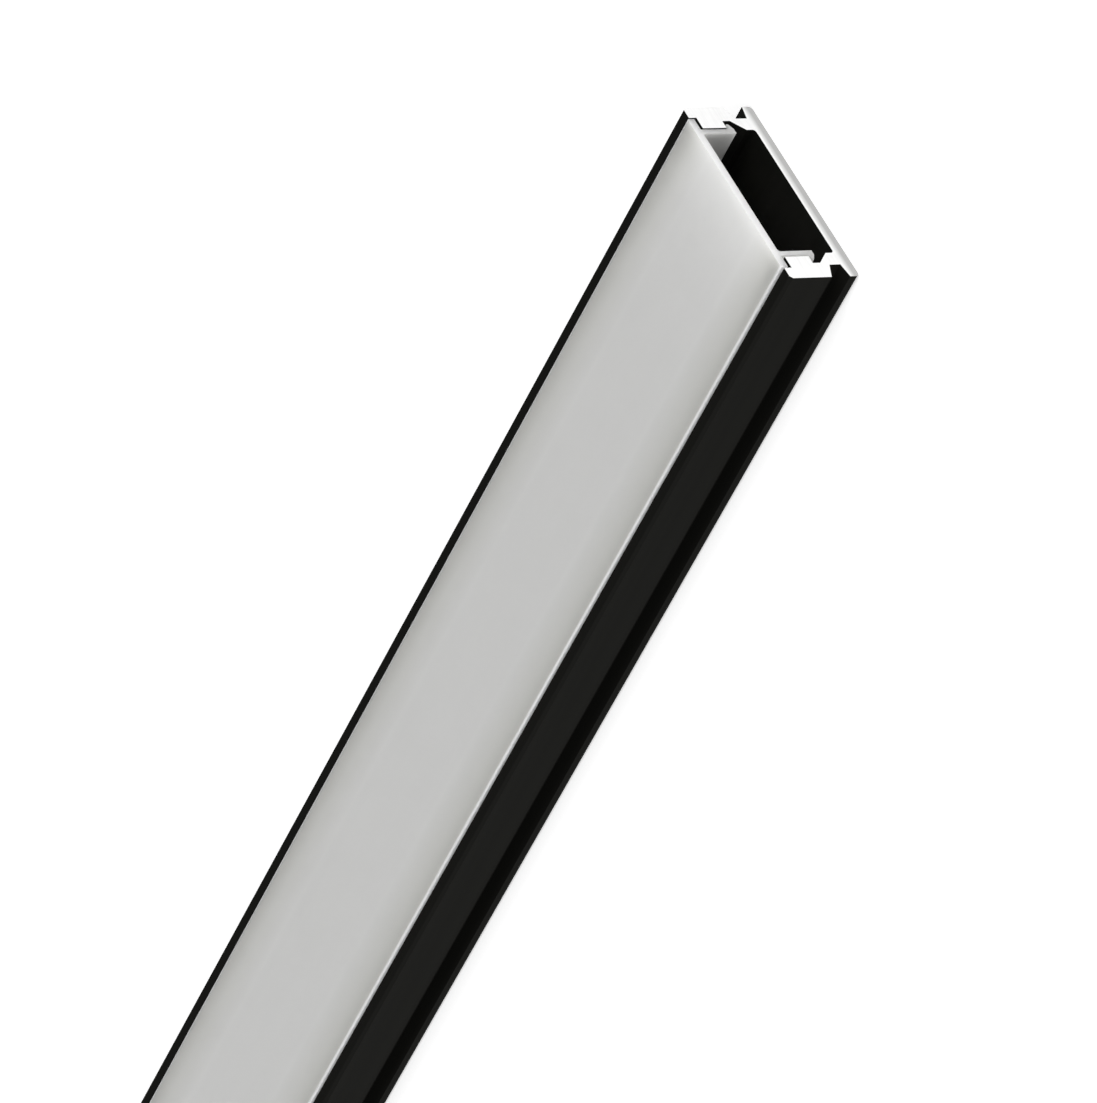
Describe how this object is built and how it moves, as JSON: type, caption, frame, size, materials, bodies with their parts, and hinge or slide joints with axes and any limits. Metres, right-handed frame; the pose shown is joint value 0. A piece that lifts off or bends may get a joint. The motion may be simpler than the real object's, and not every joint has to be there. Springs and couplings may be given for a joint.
{
  "type": "led strip aluminium profile",
  "caption": "Flat U-shaped aluminium extrusion that carries an LED strip behind an opal cover; the cover slides out along it, and clips grip grooves in its sides.",
  "frame": {"origin": "middle of the mounting face, which is the bottom centre of the bounding box", "axes": "+X along the profile towards the end that the picture shows, +Y across it, +Z from the mounting face out through the opal cover"},
  "size_m": [0.5, 0.02, 0.0072],
  "materials": {
    "channel": "satin black anodised, bare at the cut ends",
    "cover": "opal, satin"
  },
  "bodies": {
    "channel": {"channel": "channel"},
    "cover": {"cover": "cover"}
  },
  "joints": [
    {"name": "cover_slide", "type": "slide", "parent": "channel", "child": "cover", "axis": [1, 0, 0], "range_m": [-0.48, 0.48]}
  ]
}
